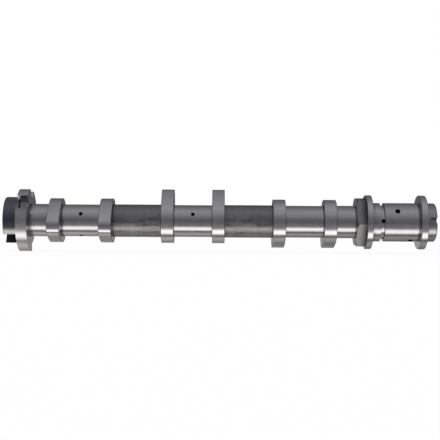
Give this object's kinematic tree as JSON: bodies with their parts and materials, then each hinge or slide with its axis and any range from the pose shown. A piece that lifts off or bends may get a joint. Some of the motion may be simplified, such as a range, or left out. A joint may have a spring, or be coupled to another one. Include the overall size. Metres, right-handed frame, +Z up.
{
  "type": "camshaft",
  "caption": "Overhead camshaft of an engine: paired cam lobes along a slim shaft, thrust journal with oil groove between flanges, spanner hexagon, sensor wheel and slotted rear drive.",
  "frame": {"origin": "on the shaft's axis, in the face of the front flange that the sprocket seats on", "axes": "+X along the axis toward the nose, +Z up as in the picture, -Y toward the viewer"},
  "size_m": [0.4091, 0.0602, 0.06],
  "materials": {
    "ground_steel": "ground and turned steel, rougher between the lobe pairs"
  },
  "bodies": {
    "root": {"camshaft": "ground_steel"}
  },
  "joints": []
}
